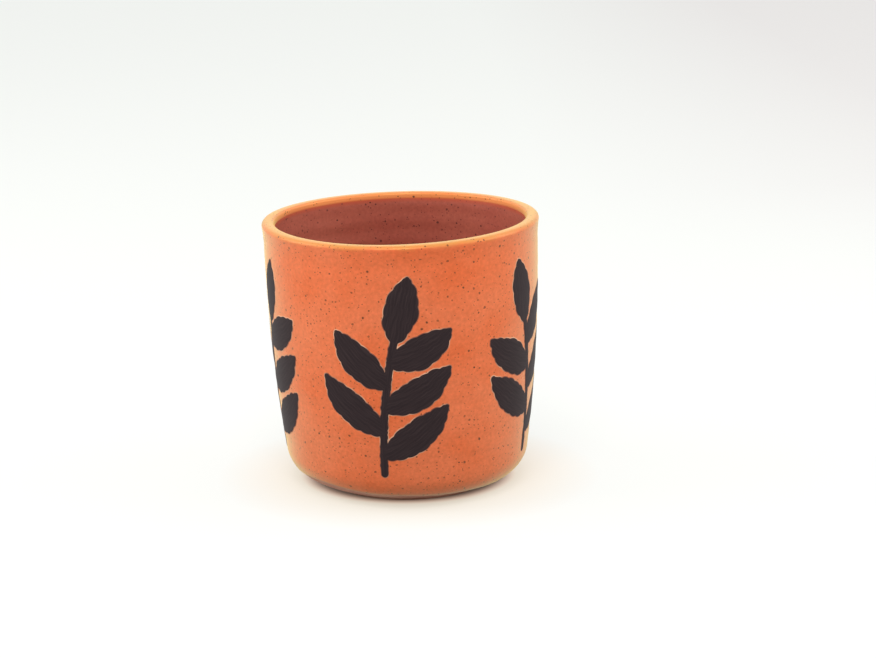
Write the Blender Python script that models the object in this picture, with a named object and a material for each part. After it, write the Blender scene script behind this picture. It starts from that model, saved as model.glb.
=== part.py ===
"""Thrown stoneware tumbler with a glazed outside, a glazed lining and painted leaf sprigs.

Run with blender --background --python part.py. Units are metres, and +Z is up.
The origin is the centre of the foot, on the surface that the tumbler stands on.
Every section is made of arcs, and the coats are offsets of the clay's own arcs.
"""

import math

import bmesh
import bpy

MM = 0.001

# Overall size
HEIGHT = 86.3 * MM

# Clay body, as fired and before it is coated
BELLY_RADIUS = 42.7 * MM
BELLY_HEIGHT = 79.2 * MM
WALL_SWEEP = 554.0 * MM
WALL = 2.4 * MM
HEEL_RADIUS = 9.2 * MM
HEEL_LIFT = 2.8 * MM
FLOOR = 5.5 * MM
INNER_HEEL_RADIUS = 8.5 * MM
LIP_FLARE = 0.5 * MM
FLARE_LENGTH = 6.0 * MM
LIP_OUTER_ROUND = 0.7 * MM
LIP_INNER_ROUND = 0.4 * MM
FOOT_EDGE = 3.0 * MM
FOOT_SET_IN = 4.7 * MM
FOOT_RING = 5.0 * MM
FOOT_RECESS = 1.2 * MM
RECESS_SLOPE = 1.5 * MM

# Coats on the clay, and the clearance that each leaves to what it lies on
GLAZE = 0.5 * MM
GLAZE_LINE = 4.6 * MM
PAINT = 0.3 * MM
SEAT_GAP = 0.3 * MM

# Painted sprigs round the wall, and the margins that they keep to its ends and to each other
SPRIGS = 5
FRONT_TURN = math.radians(-97.0)
HEEL_MARGIN = 1.0 * MM
LIP_MARGIN = 8.0 * MM
SPRIG_GAP = 7.0 * MM

# One sprig: its first leaf is measured from the stem's foot, and its last from the stem's top
STEM_WIDTH = 3.0 * MM
STEM_BEND = 5.0 * MM
LEAVES = 5
FIRST_LEAF = 6.5 * MM
LAST_LEAF = 5.5 * MM
TOP_LEAF = 20.0 * MM

# One leaf: how it leaves the stem, what the highest loses in length, and its width as part of a sine
LEAF_BASE = 2.6 * MM
LEAF_GAP = 2.0 * MM
LEAF_SPREAD = math.radians(66.0)
LEAF_CURL = math.radians(28.0)
LEAF_TAPER = 0.28
LEAF_SWELL = (0.10, 0.94)

# Facets
SEGMENTS = 56
FLARE_STEPS = 2
WALL_STEPS = 4
LIP_STEPS = 3
HEEL_STEPS = 4
LEAF_STEPS = 6
SMOOTH_ANGLE = math.radians(30.0)
MERGE = 0.00001

# Centres of the arcs in the half section, as (radius, height)
COAT = SEAT_GAP + GLAZE
LIP_TOP = HEIGHT - COAT
LIP_HEIGHT = LIP_TOP - LIP_OUTER_ROUND
INNER_LIP_HEIGHT = LIP_TOP - LIP_INNER_ROUND
SWEEP_CENTRE = (BELLY_RADIUS - WALL_SWEEP, BELLY_HEIGHT)
INNER_SWEEP = WALL_SWEEP - WALL
PAINT_SWEEP = WALL_SWEEP + COAT + SEAT_GAP


def arc(centre, radius, start, end, steps):
    """Points of an arc from start to end, in radians, both ends included."""
    angles = (start + (end - start) * i / steps for i in range(steps + 1))
    return [(centre[0] + radius * math.cos(a), centre[1] + radius * math.sin(a)) for a in angles]


def round_centre(sweep, radius, height):
    """Centre of the round at that height that runs into a wall arc without a corner."""
    reach = sweep - radius
    drop = BELLY_HEIGHT - height
    return SWEEP_CENTRE[0] + math.sqrt(reach**2 - drop**2), height


OUTER_HEEL = round_centre(WALL_SWEEP, HEEL_RADIUS, HEEL_RADIUS + HEEL_LIFT)
INNER_HEEL = round_centre(INNER_SWEEP, INNER_HEEL_RADIUS, FLOOR + INNER_HEEL_RADIUS)

# A sprig fills the wall between its margins, and its leaves share the stem and the girth
STEM_FOOT = OUTER_HEEL[1] + HEEL_MARGIN
STEM_TOP = LIP_HEIGHT - LIP_MARGIN - TOP_LEAF
STEM_RISE = STEM_TOP - STEM_FOOT
LEAF_PITCH = (STEM_RISE - FIRST_LEAF - LAST_LEAF) / (LEAVES - 1)
LEAF_SLANT = math.sin(LEAF_SPREAD - LEAF_CURL / 2)
LEAF_WIDTH = 2 * LEAF_PITCH * LEAF_SLANT - LEAF_GAP
LEAF_REACH = (math.tau * BELLY_RADIUS / SPRIGS - SPRIG_GAP - STEM_BEND) / 2
LEAF_LENGTH = LEAF_REACH / LEAF_SLANT


def flare(height):
    """How far the thrower's finger has turned the wall out below the lip."""
    share = max(0.0, 1.0 - (LIP_HEIGHT - height) / FLARE_LENGTH)
    return LIP_FLARE * share**2


def wall_radius(sweep, height):
    """Radius of a wall arc at a height, with the flare at the lip."""
    return SWEEP_CENTRE[0] + math.sqrt(sweep**2 - (height - BELLY_HEIGHT) ** 2) + flare(height)


def join_angle(heel):
    """Direction from the wall arc's centre to the point where it meets its heel round."""
    return math.atan2(heel[1] - SWEEP_CENTRE[1], heel[0] - SWEEP_CENTRE[0])


def wall_down(sweep, heel, top):
    """Points down a wall arc, from the height top past the flare to its heel round."""
    start = math.asin((top - BELLY_HEIGHT) / sweep)
    flare_foot = math.asin((LIP_HEIGHT - FLARE_LENGTH - BELLY_HEIGHT) / sweep)
    line = arc(SWEEP_CENTRE, sweep, start, flare_foot, FLARE_STEPS)[:-1]
    line += arc(SWEEP_CENTRE, sweep, flare_foot, join_angle(heel), WALL_STEPS)
    return [(radius + flare(height), height) for radius, height in line]


def lip_over(offset):
    """Points over the lip, which is flat between its two rounds, without the ends on the two walls."""
    outer = (wall_radius(WALL_SWEEP, LIP_HEIGHT) - LIP_OUTER_ROUND, LIP_HEIGHT)
    inner = (wall_radius(INNER_SWEEP, INNER_LIP_HEIGHT) + LIP_INNER_ROUND, INNER_LIP_HEIGHT)
    rise = arc(inner, LIP_INNER_ROUND + offset, math.pi, math.pi / 2, LIP_STEPS)
    fall = arc(outer, LIP_OUTER_ROUND + offset, math.pi / 2, 0.0, LIP_STEPS)
    return rise[1:] + fall[:-1]


def outside_down(offset, end_height):
    """Points down the outside, offset from the clay, to end_height on the clay's heel."""
    wall = wall_down(WALL_SWEEP + offset, OUTER_HEEL, LIP_HEIGHT)
    end = math.asin((end_height - OUTER_HEEL[1]) / HEEL_RADIUS)
    return wall + arc(OUTER_HEEL, HEEL_RADIUS + offset, join_angle(OUTER_HEEL), end, HEEL_STEPS)[1:]


def inside_up(offset, top):
    """Points from the middle of the inner floor out and up to the height top, offset into the cup."""
    wall = wall_down(INNER_SWEEP - offset, INNER_HEEL, top)
    radius = INNER_HEEL_RADIUS - offset
    heel = arc(INNER_HEEL, radius, -math.pi / 2, join_angle(INNER_HEEL), HEEL_STEPS)
    return [(0.0, FLOOR + offset)] + heel[:-1] + wall[::-1]


def clay_section():
    """Half section of the clay: inner floor, inner wall, lip, outside, foot ring and recess."""
    outside = outside_down(0.0, FOOT_EDGE)
    ring_outside = outside[-1][0] - FOOT_SET_IN
    ring_inside = ring_outside - FOOT_RING
    recess_edge = ring_inside - RECESS_SLOPE
    ring = [(ring_outside, 0.0), (ring_inside, 0.0)]
    recess = [(recess_edge, FOOT_RECESS), (0.0, FOOT_RECESS)]
    return inside_up(0.0, INNER_LIP_HEIGHT) + lip_over(0.0) + outside + ring + recess


def outer_glaze_section():
    """Half section of the outer coat: from inside the lip, over it and down to the glaze line."""
    inner_end = [(wall_radius(INNER_SWEEP - COAT, INNER_LIP_HEIGHT), INNER_LIP_HEIGHT)]
    back_end = [(wall_radius(INNER_SWEEP - SEAT_GAP, INNER_LIP_HEIGHT), INNER_LIP_HEIGHT)]
    front = inner_end + lip_over(COAT) + outside_down(COAT, GLAZE_LINE)
    back = back_end + lip_over(SEAT_GAP) + outside_down(SEAT_GAP, GLAZE_LINE)
    return front + back[::-1]


def lining_section():
    """Half section of the glaze inside the cup, which ends below the outer coat at the lip."""
    top = INNER_LIP_HEIGHT - SEAT_GAP
    return inside_up(COAT, top) + inside_up(SEAT_GAP, top)[::-1]


def finish(name, form, material, parent):
    """Turns a bmesh into a named object with smooth curves and its material."""
    mesh = bpy.data.meshes.new(name)
    form.to_mesh(mesh)
    form.free()
    mesh.shade_smooth()
    mesh.set_sharp_from_angle(angle=SMOOTH_ANGLE)
    mesh.materials.append(material)
    made = bpy.data.objects.new(name, mesh)
    made.parent = parent
    bpy.context.scene.collection.objects.link(made)
    return made


def turned(name, section, material, parent, ring=False):
    """A solid turned about Z from its half section, which closes on itself if it is a ring."""
    form = bmesh.new()
    verts = [form.verts.new((radius, 0.0, height)) for radius, height in section]
    ends = verts[1:] + verts[:1] if ring else verts[1:]
    edges = [form.edges.new(pair) for pair in zip(verts, ends)]
    bmesh.ops.spin(
        form,
        geom=verts + edges,
        cent=(0.0, 0.0, 0.0),
        axis=(0.0, 0.0, 1.0),
        angle=math.tau,
        steps=SEGMENTS,
        use_merge=True,
    )
    bmesh.ops.remove_doubles(form, verts=form.verts, dist=MERGE)
    bmesh.ops.recalc_face_normals(form, faces=form.faces)
    return finish(name, form, material, parent)


def on_glaze(along, height):
    """The point on the glaze at a distance along the girth, at the clearance that paint keeps."""
    turn = along / BELLY_RADIUS
    radius = wall_radius(PAINT_SWEEP, height)
    return radius * math.cos(turn), radius * math.sin(turn), height


def row_across(form, middle, heading, half_width):
    """Three vertices across a brush stroke: its left edge, its middle and its right edge."""
    along, up = math.sin(heading), -math.cos(heading)
    sides = (-half_width, 0.0, half_width)
    return [form.verts.new(on_glaze(middle[0] + along * s, middle[1] + up * s)) for s in sides]


def join_rows(form, lower, upper):
    """Two faces between neighbouring rows of a stroke, facing out of the cup."""
    for i in range(2):
        form.faces.new((lower[i], lower[i + 1], upper[i + 1], upper[i]))


def leaf_stroke(form, base, start, heading, length, curl):
    """A leaf that grows from three vertices of the stem, swells, curls and ends in a blunt tip."""
    step = length / LEAF_STEPS
    swell_start, swell_end = LEAF_SWELL
    row, middle = base, start
    for i in range(1, LEAF_STEPS + 1):
        share = i / LEAF_STEPS
        turned_to = heading + curl * share
        middle = (middle[0] + step * math.cos(turned_to), middle[1] + step * math.sin(turned_to))
        swell = math.sin(math.pi * (swell_start + (swell_end - swell_start) * share))
        new_row = row_across(form, middle, turned_to, LEAF_WIDTH / 2 * swell)
        join_rows(form, row, new_row)
        row = new_row


def stem_at(rise, bend):
    """Place and heading of a stem at a rise above its foot, on a parabola bent half to each side."""
    share = rise / STEM_RISE
    middle = (bend * (share**2 - 0.5), STEM_FOOT + rise)
    return middle, math.atan2(STEM_RISE, 2 * bend * share)


def sprig(name, turn, bend, material, parent):
    """One painted sprig: a stem stroke with leaves on alternate sides and one on top."""
    form = bmesh.new()
    spots = [FIRST_LEAF + LEAF_PITCH * i for i in range(LEAVES)]
    rises = [spot + k * LEAF_BASE / 2 for spot in spots for k in (-1, 0, 1)]
    rows = [row_across(form, *stem_at(rise, bend), STEM_WIDTH / 2) for rise in (0.0, *rises, STEM_RISE)]
    for lower, upper in zip(rows, rows[1:]):
        join_rows(form, lower, upper)
    for i, spot in enumerate(spots):
        middle, heading = stem_at(spot, bend)
        base_rows = rows[1 + 3 * i : 4 + 3 * i]
        if i % 2:
            side, base = -1, [row[0] for row in base_rows]
        else:
            side, base = 1, [row[2] for row in reversed(base_rows)]
        length = LEAF_LENGTH * (1 - LEAF_TAPER * (spot / STEM_RISE) ** 2)
        leaf_stroke(form, base, middle, heading - side * LEAF_SPREAD, length, side * LEAF_CURL)
    leaf_stroke(form, rows[-1], *stem_at(STEM_RISE, bend), TOP_LEAF, 0.0)
    made = finish(name, form, material, parent)
    made.rotation_euler = (0.0, 0.0, turn)
    coat = made.modifiers.new("Paint thickness", "SOLIDIFY")
    coat.thickness = PAINT
    coat.offset = 1.0
    return made


def linear(colour):
    """An sRGB hex colour as linear red, green, blue and alpha."""
    values = [int(colour[i : i + 2], 16) / 255 for i in (1, 3, 5)]
    return [v / 12.92 if v <= 0.04045 else ((v + 0.055) / 1.055) ** 2.4 for v in values] + [1.0]


def ceramic(name, colour, roughness):
    """A Principled material for fired clay, glaze or fired paint."""
    material = bpy.data.materials.new(name)
    material.use_nodes = True
    shader = material.node_tree.nodes["Principled BSDF"]
    shader.inputs["Base Color"].default_value = linear(colour)
    shader.inputs["Roughness"].default_value = roughness
    shader.inputs["Metallic"].default_value = 0.0
    return material


def main():
    for old in list(bpy.data.objects):
        bpy.data.objects.remove(old)
    tumbler = bpy.data.objects.new("tumbler", None)
    bpy.context.scene.collection.objects.link(tumbler)

    stoneware = ceramic("Bare speckled stoneware", "#b79c84", 0.75)
    orange_glaze = ceramic("Orange satin glaze", "#dd7148", 0.28)
    lining_glaze = ceramic("Brown red lining glaze", "#a95540", 0.32)
    black_paint = ceramic("Brown black brushwork", "#3a2f31", 0.45)

    turned("clay_body", clay_section(), stoneware, tumbler)
    turned("outer_glaze", outer_glaze_section(), orange_glaze, tumbler, ring=True)
    turned("lining_glaze", lining_section(), lining_glaze, tumbler)
    for i in range(SPRIGS):
        turn = FRONT_TURN + math.tau * i / SPRIGS
        bend = -STEM_BEND if i % 2 else STEM_BEND
        sprig(f"leaf_sprig_{i + 1}", turn, bend, black_paint, tumbler)


if __name__ == "__main__":
    main()
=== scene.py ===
"""Looks of a thrown stoneware tumbler: its glazes, bare clay foot and brushwork, and a studio stage.

The file is laid out as a Blender add-on and is run as a script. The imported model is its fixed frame, in
metres and with +Z up, so each piece is modelled where its node lies and then stands for that node.
"""

import math

import bmesh
import bpy
import numpy as np
from bpy.props import FloatProperty, FloatVectorProperty, IntProperty, PointerProperty
from mathutils import Matrix, Quaternion, Vector, noise


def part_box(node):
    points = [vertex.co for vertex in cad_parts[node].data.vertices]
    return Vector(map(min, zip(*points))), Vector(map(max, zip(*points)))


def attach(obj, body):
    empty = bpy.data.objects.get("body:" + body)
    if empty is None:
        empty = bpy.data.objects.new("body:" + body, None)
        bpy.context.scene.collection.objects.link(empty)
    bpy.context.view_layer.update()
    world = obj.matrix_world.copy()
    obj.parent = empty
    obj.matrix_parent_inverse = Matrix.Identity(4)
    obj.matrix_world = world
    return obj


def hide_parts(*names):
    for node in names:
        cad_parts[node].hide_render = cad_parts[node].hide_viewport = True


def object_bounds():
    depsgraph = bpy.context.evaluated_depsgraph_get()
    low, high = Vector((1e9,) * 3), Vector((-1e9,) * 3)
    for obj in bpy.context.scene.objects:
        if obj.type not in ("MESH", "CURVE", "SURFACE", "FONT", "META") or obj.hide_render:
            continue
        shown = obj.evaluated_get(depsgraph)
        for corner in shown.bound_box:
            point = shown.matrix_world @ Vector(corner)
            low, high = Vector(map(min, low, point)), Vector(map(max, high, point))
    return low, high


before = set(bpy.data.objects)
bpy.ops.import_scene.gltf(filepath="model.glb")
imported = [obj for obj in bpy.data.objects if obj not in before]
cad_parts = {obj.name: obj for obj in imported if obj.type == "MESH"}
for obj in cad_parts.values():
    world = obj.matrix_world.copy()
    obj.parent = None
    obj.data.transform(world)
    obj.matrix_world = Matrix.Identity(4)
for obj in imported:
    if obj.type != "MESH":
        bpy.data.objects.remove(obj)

bl_info = {
    "name": "Thrown Tumbler",
    "version": (1, 0, 0),
    "blender": (4, 5, 0),
    "location": "View3D > Sidebar > Tumbler",
    "description": "Models a glazed stoneware tumbler on its packed frame and lights it for a picture",
    "category": "Object",
}

MM = 0.001
BODY = "root"

# What the frame gives: the object's box, the sprigs, the wall that one covers, and the lining's underside
CAD_LOW, CAD_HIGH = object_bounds()
SPRIG_NODES = sorted(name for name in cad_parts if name.startswith("leaf_sprig"))
SPRIG_LOW, SPRIG_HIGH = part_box(SPRIG_NODES[0])
LINING_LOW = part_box("lining_glaze")[0]

# Thickness of the lining in the frame
LINING_COAT = 0.5 * MM

# The photograph's width in pixels, Blender's own sensor width in millimetres, and the nearest place drawn
PICTURE_WIDTH = 876
SENSOR = 36.0
CLIP_START = 10.0 * MM

# Facets of the fine meshes: round the cup, then along its section
SEGMENTS = 160
LIP_STEPS = 8
WALL_STEPS = 110
HEEL_STEPS = 26
FLOOR_STEPS = 40
BEAD_STEPS = 8
FOOT_STEPS = 4

# A side that never shows takes one facet for every three of a side that does
HIDDEN_SHARE = 3

# The grid a paint film is trimmed from, the distance at which points merge, and the sharpest smooth edge
CELL = 0.28 * MM
MERGE = 0.002 * MM
SHARP = math.radians(60.0)

# How a thrown wall strays: its three-sided pull beside the oval, and lumps that sway and swell the rings
OVAL_TURN = 0.6
THIRD_SHARE = 0.5
THIRD_TURN = 2.0
LUMPS_ROUND = 1.6
LUMP_RISE = 14.0 * MM
RING_SWAY = 2.2
RING_SHARE = 0.6
LUMP_SHARE = 1.4

# How much deeper the floor's swirl is than the rings inside, and how fast the rim's dip fades downwards
SWIRL_SHARE = 2.0
DIP_POWER = 4

# How the glaze is painted pale over the lip, partly a real thin break and partly painted highlight:
# everywhere, more on the side that faces the camera, and in patches
LIP_EVEN = 0.76
LIP_CAMERA_HIGHLIGHT = 0.24
LIP_PATCHY = 0.4
LIP_PATCH = 4.0 * MM
PATCH_SPREAD = 0.8
LIP_FADE = 1.5

# How fast the painted light on the lap comes up below the lip inside
LAP_RISE = 1.5

# Size of the glaze line's wander on a circle of radius 1, and the place in the noise that it is read from
WANDER_ROUND = 2.2
WANDER_PLACE = 5.0

# Brush strokes: how closely they are followed, the bristles' width, and how a dab presses and strays
STROKE_STEP = 0.4 * MM
BRISTLES = 0.95
DAB_PRESS = 1.03
PRESS_CHANCE = 0.05
DAB_ASIDE = 0.12

# Part of a half wave that a leaf's width follows from base to tip
LEAF_BASE = 0.10
LEAF_RUN = 0.84

# Paint film: passes that draw its edge out to the dabs, its thickness at the edge, and how far it sinks in
EDGE_PASSES = 3
EDGE_SHARE = 0.15
SINK_SHARE = 0.2

# What a film notes at each point: depth inside its edge, and place across and along its stroke
STROKE_NOTES = ("edge", "across", "along")

# Real sizes of the patterns in the fired surfaces
GLAZE_CLOUD = 16.0 * MM
GLAZE_GRAIN = 1.0 * MM
GLAZE_PEEL = 1.7 * MM
# Heights between which the glaze is painted darker towards the foot, as painted shade
PAINTED_SHADE_LOW = 4.0 * MM
PAINTED_SHADE_HIGH = 34.0 * MM
SPECK_WANDER = 0.9 * MM
SPECK_STRAY = 0.4 * MM
TOAST_PATCH = 14.0 * MM
CLAY_GRIT = 0.5 * MM
BRISTLE_WIDTH = 0.5 * MM
BRISTLE_RUN = 9.0 * MM
HALO_RUN = 7.0 * MM
HALO_START = 0.10 * MM
HALO_END = 0.34 * MM

# Iron specks: their spacing, the largest radius, and the share of places that hold one
COARSE_SPECKS = (1.6 * MM, 0.5 * MM, 0.7)
FINE_SPECKS = (1.0 * MM, 0.3 * MM, 0.8)
CLAY_SPECKS = (2.0 * MM, 0.4 * MM, 0.6)

# The paper: its radius, how far it lies below the foot, and how far in from the foot ring it is cut out
PAPER_RADIUS = 4.0
PAPER_DROP = 0.02 * MM
PAPER_INSET = 0.5 * MM

# The paper's glow paints the cup's shadow: painted shade under the heel that reaches further at the sides,
# then painted warm bounce light, then white
SIDE_REACH = 0.87
SHADE_INSIDE = 1.2 * MM
SHADE_OUTSIDE = 4.2 * MM
SHADE_GLOW = 0.1
WARM_STOP = 0.15
WARM_REACH = 28.0 * MM

# Where the paper dims towards its far right corner, in metres
DIM_ASIDE = (0.08, 0.36)
DIM_AWAY = (0.2, 0.5)

# The tent's light changes between these directions along Y
TENT_FRONT = -0.8
TENT_BACK = 0.4

# Soft boxes: name, the setting that holds the power, side and place
SOFTBOXES = (
    ("key_softbox", "key", 0.6, (-0.1, -0.75, 1.0)),
    ("left_softbox", "left", 0.7, (-0.9, 0.0, 0.55)),
    ("right_softbox", "right", 0.7, (0.9, 0.0, 0.55)),
)


def linear(code):
    """An sRGB hex colour as linear red, green and blue."""
    values = [int(code[i : i + 2], 16) / 255 for i in (1, 3, 5)]
    return [v / 12.92 if v <= 0.04045 else ((v + 0.055) / 1.055) ** 2.4 for v in values]


def length(name, description, default):
    """A size in metres that a user can change."""
    return FloatProperty(name=name, description=description, default=default, unit="LENGTH", precision=5)


def share(name, description, default):
    """A part of a whole, from 0 to 1."""
    return FloatProperty(
        name=name, description=description, default=default, min=0.0, max=1.0, subtype="FACTOR"
    )


def angle(name, description, default):
    """An angle, given here in degrees."""
    return FloatProperty(name=name, description=description, default=math.radians(default), subtype="ANGLE")


def pixels(name, description, default):
    """A distance in the picture."""
    return FloatProperty(name=name, description=description, default=default, subtype="PIXEL")


def watts(name, description, default):
    """The power of a lamp."""
    return FloatProperty(name=name, description=description, default=default, subtype="POWER")


def brightness(name, description, default):
    """The strength of a glowing surface, where 1 is white."""
    return FloatProperty(name=name, description=description, default=default, min=0.0)


def colour(name, description, default):
    """A surface colour, given here as sRGB hex."""
    return FloatVectorProperty(
        name=name, description=description, default=linear(default), subtype="COLOR", min=0.0, max=1.0
    )


class ThrownForm(bpy.types.PropertyGroup):
    """Sizes of the thrown form, measured over its glaze"""

    height: length("Height", "From the table to the top of the lip", CAD_HIGH.z)
    belly_radius: length("Belly radius", "Outer radius where the wall is widest", 43.5 * MM)
    belly_height: length("Belly height", "Height of the widest place", 79.2 * MM)
    wall_sweep: length("Wall sweep", "Radius of the long arc that the wall follows", 555.0 * MM)
    wall: length("Wall", "Wall thickness with both glazes", 3.9 * MM)
    heel_radius: length("Heel radius", "Round between the wall and the foot", 10.0 * MM)
    heel_height: length("Heel height", "Height of the heel round's centre", 12.0 * MM)
    inner_heel_radius: length("Inner heel radius", "Round between the inner wall and floor", 7.7 * MM)
    floor: length("Floor", "Height of the lining at the middle of the cup", LINING_LOW.z + LINING_COAT)
    flare: length("Flare", "How far the lip turns out", 0.5 * MM)
    flare_length: length("Flare length", "Height of the wall that turns out", 6.0 * MM)
    coat: length("Coat", "Thickness of the glaze", 0.3 * MM)
    fit: length("Fit", "Hairline between the clay and a coat", 0.01 * MM)
    lip_inner_round: length("Inner lip round", "Round on the lip's inner edge", 0.6 * MM)
    lip_outer_round: length("Outer lip round", "Round on the lip's outer edge", 1.0 * MM)
    crown: length("Crown", "How far the middle of the lip stands above its edges", 0.3 * MM)
    lap: length("Lap", "How far the outer glaze feathers out below the lip inside", 1.2 * MM)
    lip_break: length("Lip break", "Depth below the lip over which the glaze breaks pale", 1.3 * MM)
    glaze_line: length("Glaze line", "Height where the glaze ends above the foot", 4.3 * MM)
    glaze_line_slant: length("Glaze line slant", "How much higher the glaze ends on one side", 1.5 * MM)
    slant_turn: angle("Slant turn", "Turn about the axis where the glaze ends highest", -160.0)
    glaze_line_wander: length("Glaze line wander", "How far the glaze line strays", 0.4 * MM)
    thin_glaze: length("Thin glaze", "Length over which the glaze thins out to its line", 1.6 * MM)
    foot_height: length("Foot height", "Height where the heel ends above the foot ring", 2.6 * MM)
    foot_set_in: length("Foot set-in", "How far the foot ring lies in from the heel's end", 5.0 * MM)
    foot_ring: length("Foot ring", "Width of the ring that the cup stands on", 5.0 * MM)
    foot_recess: length("Foot recess", "Depth of the trimmed middle of the foot", 1.2 * MM)
    recess_slope: length("Recess slope", "Width of the slope into the recess", 1.5 * MM)
    foot_edge: length("Foot edge", "Round on the edges of the foot", 0.3 * MM)
    ring_pitch: length("Throwing ring pitch", "Rise of the thrower's finger in one turn", 6.4 * MM)
    ring_depth: length("Throwing ring depth", "Depth of the rings outside", 0.035 * MM)
    inner_ring_depth: length("Inner ring depth", "Depth of the rings inside", 0.11 * MM)
    oval: length("Oval", "How far the wall strays from a true circle", 0.12 * MM)
    rim_dip: length("Rim dip", "How much lower the rim is at the front and back", 0.3 * MM)
    rim_sag: length("Rim sag", "How much lower again the rim is on its lowest side", 0.4 * MM)
    sag_turn: angle("Sag turn", "Turn about the axis where the rim is lowest", -118.0)
    lean: angle("Lean", "How far the cup leans along X, more towards its lip", -1.02)


class BrushForm(bpy.types.PropertyGroup):
    """Sizes of the brushed sprigs, along the girth and up the wall"""

    front_turn: angle("Front turn", "Turn of the first sprig about the axis", -97.0)
    leaves: IntProperty(name="Leaves", description="Side leaves on a sprig", default=5, min=2)
    stem_width: length("Stem width", "Width of the stem's stroke", 3.0 * MM)
    stem_bend: length("Stem bend", "How far a stem leans from foot to top", 5.0 * MM)
    first_leaf: length("First leaf", "Height of the first leaf above the stem's foot", 6.5 * MM)
    last_leaf: length("Last leaf", "Depth of the last leaf below the stem's top", 7.0 * MM)
    top_leaf: length("Top leaf", "Length of the leaf on the stem's top", 20.0 * MM)
    leaf_length: length("Leaf length", "Length of the lowest leaves", 26.4 * MM)
    leaf_width: length("Leaf width", "Greatest width of a leaf", 10.5 * MM)
    leaf_spread: angle("Leaf spread", "Angle between a leaf's base and its stem", 66.0)
    leaf_curl: angle("Leaf curl", "How far a leaf turns up towards its tip", 28.0)
    leaf_taper: share("Leaf taper", "Share of its length that the highest leaf loses", 0.28)
    dab: length("Dab", "Distance between dabs of the brush, which scallop the edge", 3.0 * MM)
    film: length("Film", "Thickness of the fired paint", 0.12 * MM)
    film_edge: length("Film edge", "Width over which the paint thins out", 0.35 * MM)


class Finish(bpy.types.PropertyGroup):
    """Colours of the fired surfaces"""

    glaze: colour("Glaze", "Orange glaze where it is even", "#e4683d")
    glaze_pale: colour("Pale glaze", "Glaze where it lies thin", "#e97951")
    # The rim colour is a thin break over the lip; laid on more on the camera's side, it is also painted
    # highlight
    glaze_rim: colour("Rim", "Glaze that breaks pale over the lip", "#cb8747")
    # Painted light: the glaze inside the lip, where shade falls, is painted a lighter orange
    lit_lap_glaze: colour("Lapped glaze", "Glaze that lies over the lining inside the lip", "#ee9254")
    glaze_thin: colour("Thin glaze", "Glaze that the clay shows through at its lower end", "#c8896e")
    # The lining's colours are darker and browner than the outer glaze: painted shade inside the cup. Its
    # rim colour is the redder edge of that painted shade below the lip
    lining: colour("Lining", "Glaze inside the cup", "#a25141")
    lining_pale: colour("Pale lining", "Lining where it lies thin", "#a75946")
    lining_rim: colour("Lining at the lip", "Lining where it meets the orange glaze", "#ae4b2f")
    bloom: colour("Bloom", "Light that fine crystals in the glaze catch where it turns away", "#fff49c")
    speck: colour("Iron speck", "Iron that has bled through the glaze", "#38201b")
    speck_cool: colour("Cool speck", "Iron that lies deep under the glaze", "#5a3029")
    clay: colour("Clay", "Bare stoneware", "#e3ab92")
    clay_toasted: colour("Toasted clay", "Stoneware that the kiln has browned", "#c88771")
    paint: colour("Paint", "Brown-black brushwork", "#2f2527")
    paint_thin: colour("Thin paint", "Brushwork between two strokes", "#3c3031")
    paint_halo: colour("Paint halo", "Glaze that has drawn back along the paint", "#eeb894")
    paint_fringe: colour("Paint fringe", "Thin paint where the glaze has not drawn back", "#8f5a47")


class Stage(bpy.types.PropertyGroup):
    """Camera, floor and light"""

    distance: length("Distance", "From the lens to the middle of the cup", 633.9 * MM)
    elevation: angle("Elevation", "How far the lens looks down", 15.28)
    roll: angle("Roll", "How far the camera leans", -0.805)
    focal: pixels("Focal", "Focal length in pixels of the picture", 1957.6)
    aside: pixels("Aside", "From the picture's centre across to the cup", -31.4)
    below: pixels("Below", "From the picture's centre down to the cup", 16.54)
    floor: colour("Floor", "White paper under the cup", "#8a8987")
    # Painted shadow and bounce light: the glow is brown and dim under the heel and warm beside the foot
    contact_glow: colour("Contact glow", "Glow of the paper under the heel, brown from the clay", "#deb49b")
    foot_glow: colour("Foot glow", "Glow of the paper beside the foot, warm from the cup", "#d2c9b9")
    near_glow: colour("Near glow", "Glow that brings the paper round the cup to white", "#d3d6d3")
    far_glow: colour("Far glow", "Glow of the paper far behind the cup on the right", "#c9c7c6")
    tent_front: brightness("Tent front", "Light from the tent's open front", 0.55)
    tent_back: brightness("Tent back", "Light from the tent's back", 0.85)
    key: watts("Key", "Power of the lamp above the lens", 8.9)
    left: watts("Left", "Power of the lamp on the left", 4.6)
    right: watts("Right", "Power of the lamp on the right", 4.2)


class TumblerSettings(bpy.types.PropertyGroup):
    """All settings of the tumbler"""

    form: PointerProperty(name="Form", description="The thrown form", type=ThrownForm)
    brush: PointerProperty(name="Brush", description="The brushed sprigs", type=BrushForm)
    finish: PointerProperty(name="Finish", description="The fired surfaces", type=Finish)
    stage: PointerProperty(name="Stage", description="Camera, floor and light", type=Stage)


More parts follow.
